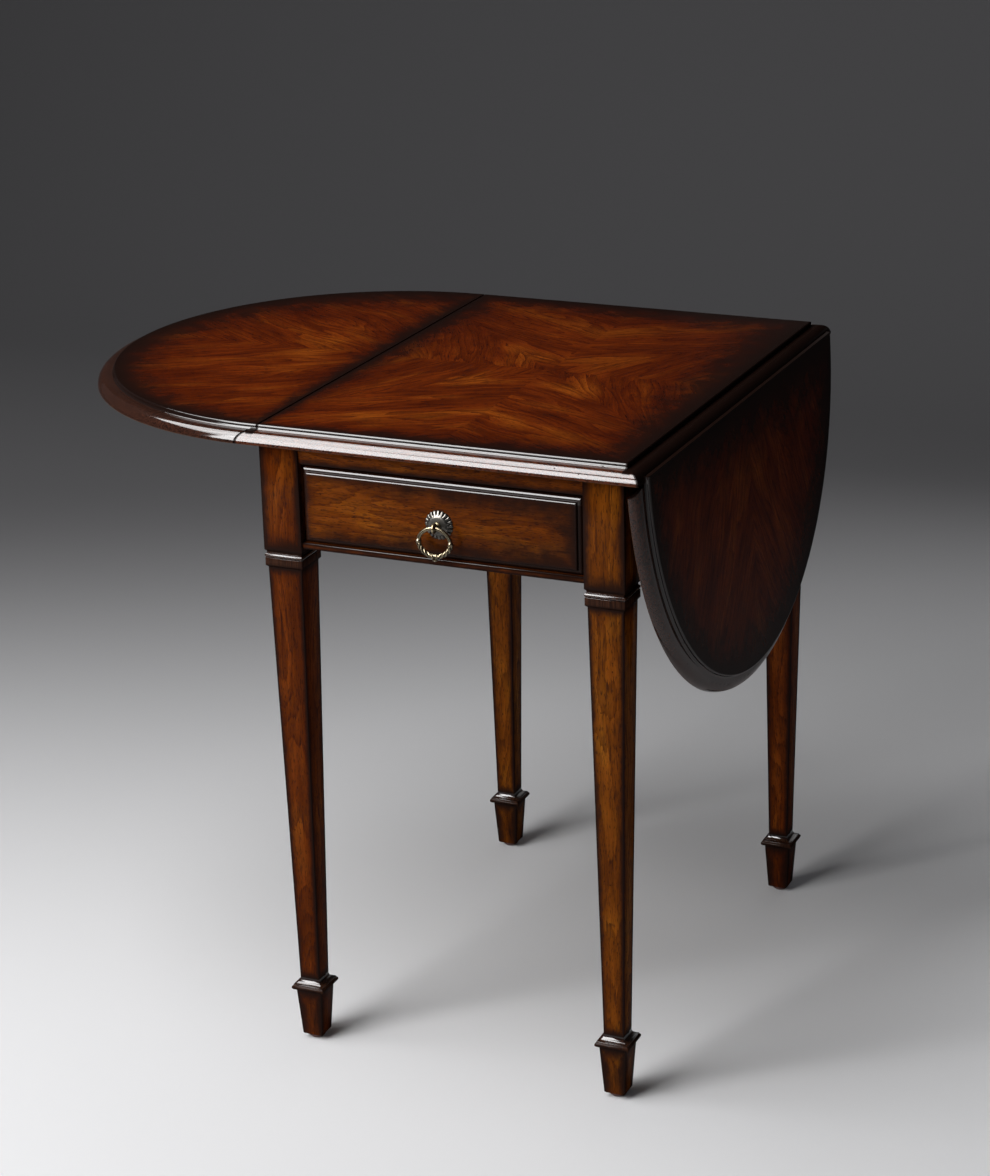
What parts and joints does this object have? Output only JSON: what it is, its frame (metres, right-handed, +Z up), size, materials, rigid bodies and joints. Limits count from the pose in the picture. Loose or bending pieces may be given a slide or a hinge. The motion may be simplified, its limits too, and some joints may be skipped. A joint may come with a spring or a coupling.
{
  "type": "pembroke table",
  "caption": "Pembroke side table with a rectangular top, half-round drop leaves on rule joints, a front drawer with a ring pull, and square tapered legs on spade feet.",
  "frame": {"origin": "on the floor, in the middle of the four feet", "axes": "+X to the right along the front, -Y out of the drawer front, +Z up"},
  "size_m": [0.7638, 0.6138, 0.711],
  "materials": {
    "veneered_top": "figured veneer, dark burnished edges, polished lacquer",
    "leg_wood": "stained straight grain, dark edges, polished lacquer",
    "case_wood": "stained figured veneer, dark edges, polished lacquer",
    "inner_wood": "plain pale hardwood, thin sealer",
    "rosette_brass": "dark antiqued, rubbed on the high places",
    "ring_brass": "antiqued brass",
    "hinge_brass": "plain brass plate",
    "stay_steel": "bronzed steel",
    "screw_steel": "bright steel",
    "glide": "moulded, matte"
  },
  "bodies": {
    "frame": {"back_apron": "case_wood", "center_top": "veneered_top", "drawer_kicker_left": "inner_wood", "drawer_kicker_right": "inner_wood", "drawer_runner_left": "inner_wood", "drawer_runner_right": "inner_wood", "drawer_stop": "inner_wood", "floor_glides": "glide", "front_bottom_rail": "case_wood", "front_top_rail": "case_wood", "hinge_pins_left": "screw_steel", "hinge_pins_right": "screw_steel", "hinge_top_plates_left": "hinge_brass", "hinge_top_plates_right": "hinge_brass", "hinge_top_screws_left": "screw_steel", "hinge_top_screws_right": "screw_steel", "leg_back_left": "leg_wood", "leg_back_right": "leg_wood", "leg_front_left": "leg_wood", "leg_front_right": "leg_wood", "side_apron_left": "case_wood", "side_apron_right": "case_wood", "stay_brackets_left": "stay_steel", "stay_brackets_right": "stay_steel", "stay_screws_left": "screw_steel", "stay_screws_right": "screw_steel", "top_screws": "screw_steel"},
    "left_leaf": {"leaf_left": "veneered_top", "hinge_leaf_plates_left": "hinge_brass", "hinge_leaf_screws_left": "screw_steel", "stay_leaf_brackets_left": "stay_steel", "stay_leaf_screws_left": "screw_steel"},
    "left_apron_arms": {"stay_apron_arms_left": "stay_steel"},
    "left_leaf_arms": {"stay_leaf_arms_left": "stay_steel"},
    "right_leaf": {"leaf_right": "veneered_top", "hinge_leaf_plates_right": "hinge_brass", "hinge_leaf_screws_right": "screw_steel", "stay_leaf_brackets_right": "stay_steel", "stay_leaf_screws_right": "screw_steel"},
    "right_apron_arms": {"stay_apron_arms_right": "stay_steel"},
    "right_leaf_arms": {"stay_leaf_arms_right": "stay_steel"},
    "drawer": {"drawer_front": "case_wood", "drawer_side_left": "inner_wood", "drawer_side_right": "inner_wood", "drawer_back": "inner_wood", "drawer_bottom": "inner_wood", "pull_rosette": "rosette_brass", "pull_post": "ring_brass", "pull_nut": "screw_steel"},
    "ring": {"pull_ring": "ring_brass"}
  },
  "joints": [
    {"name": "left_leaf_hinge", "type": "hinge", "parent": "frame", "child": "left_leaf", "pos_m": [-0.2108, 0, 0.694], "axis": [0, -1, 0], "range_deg": [0, 86.5]},
    {"name": "left_apron_arm_pivot", "type": "hinge", "parent": "frame", "child": "left_apron_arms", "pos_m": [-0.1988, 0, 0.639], "axis": [0, -1, 0], "range_deg": [-40.6, 0]},
    {"name": "left_leaf_arm_pivot", "type": "hinge", "parent": "left_leaf", "child": "left_leaf_arms", "pos_m": [-0.3108, 0, 0.686], "axis": [0, -1, 0], "range_deg": [0, 12.8]},
    {"name": "right_leaf_hinge", "type": "hinge", "parent": "frame", "child": "right_leaf", "pos_m": [0.2108, 0, 0.694], "axis": [0, -1, 0], "range_deg": [0, 86.5]},
    {"name": "right_apron_arm_pivot", "type": "hinge", "parent": "frame", "child": "right_apron_arms", "pos_m": [0.1988, 0, 0.639], "axis": [0, -1, 0], "range_deg": [-40.6, 0]},
    {"name": "right_leaf_arm_pivot", "type": "hinge", "parent": "right_leaf", "child": "right_leaf_arms", "pos_m": [0.20892, 0, 0.5937], "axis": [0, -1, 0], "range_deg": [0, 12.8]},
    {"name": "drawer_slide", "type": "slide", "parent": "frame", "child": "drawer", "axis": [0, -1, 0], "range_m": [0, 0.36]},
    {"name": "ring_swing", "type": "hinge", "parent": "drawer", "child": "ring", "pos_m": [0, -0.3017, 0.62545], "axis": [-1, 0, 0], "range_deg": [0, 85]}
  ],
  "couplings": [
    {"joint": "left_apron_arm_pivot", "follows": "left_leaf_hinge", "ratio": -0.46887},
    {"joint": "left_leaf_arm_pivot", "follows": "left_leaf_hinge", "ratio": 0.14729},
    {"joint": "right_apron_arm_pivot", "follows": "right_leaf_hinge", "ratio": -0.46887},
    {"joint": "right_leaf_arm_pivot", "follows": "right_leaf_hinge", "ratio": 0.14729}
  ]
}
